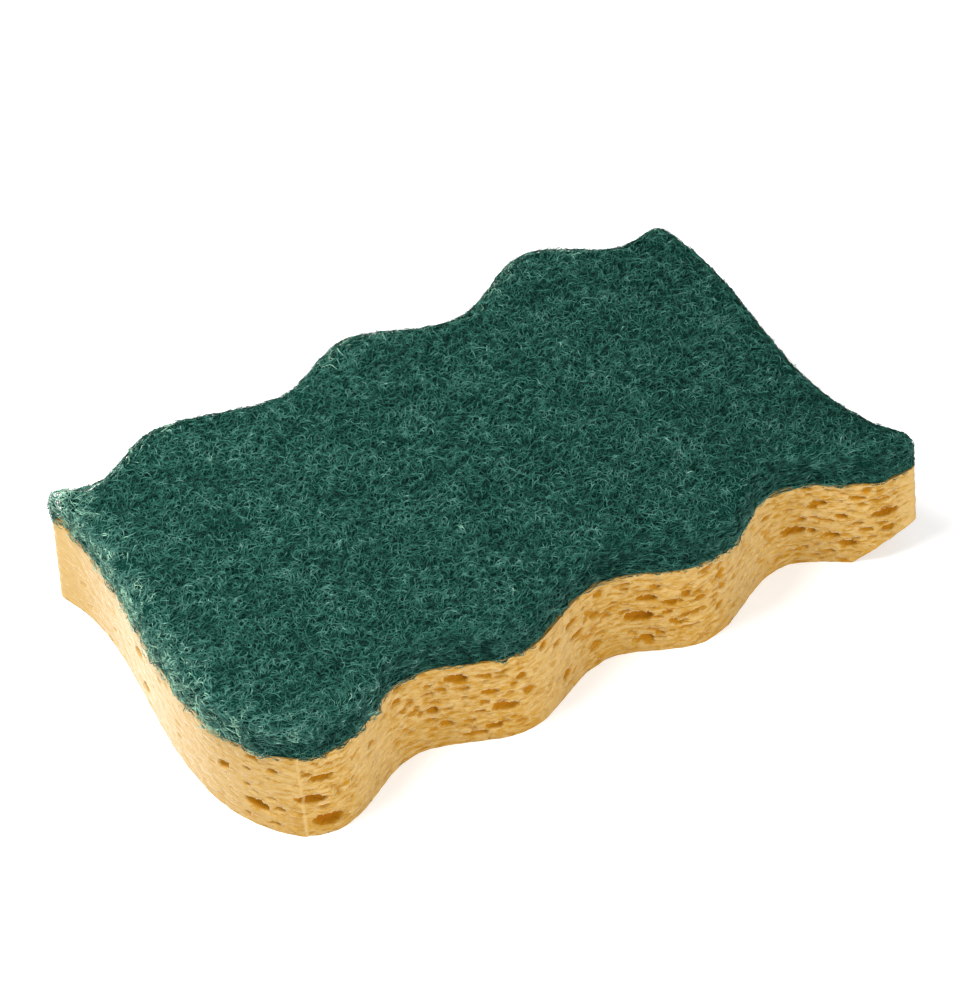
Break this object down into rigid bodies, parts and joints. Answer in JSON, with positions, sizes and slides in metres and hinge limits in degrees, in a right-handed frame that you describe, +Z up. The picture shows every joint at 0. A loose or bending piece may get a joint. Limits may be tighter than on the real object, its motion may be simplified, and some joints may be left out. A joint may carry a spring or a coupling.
{
  "type": "cleaning sponge",
  "caption": "Wavy-edged cellulose sponge block with a fibre scouring pad bonded over its whole top face, for washing up.",
  "frame": {"origin": "on the table, under the middle of the outline's bounding box", "axes": "+X along the length, towards the hollow end; +Y across, away from the rounded front left corner; +Z up through the scouring pad"},
  "size_m": [0.1422, 0.0936, 0.0262],
  "materials": {
    "cellulose": "porous matte",
    "scouring_web": "matte fibre"
  },
  "bodies": {
    "root": {"cellulose_sponge": "cellulose", "scouring_pad": "scouring_web"}
  },
  "joints": []
}
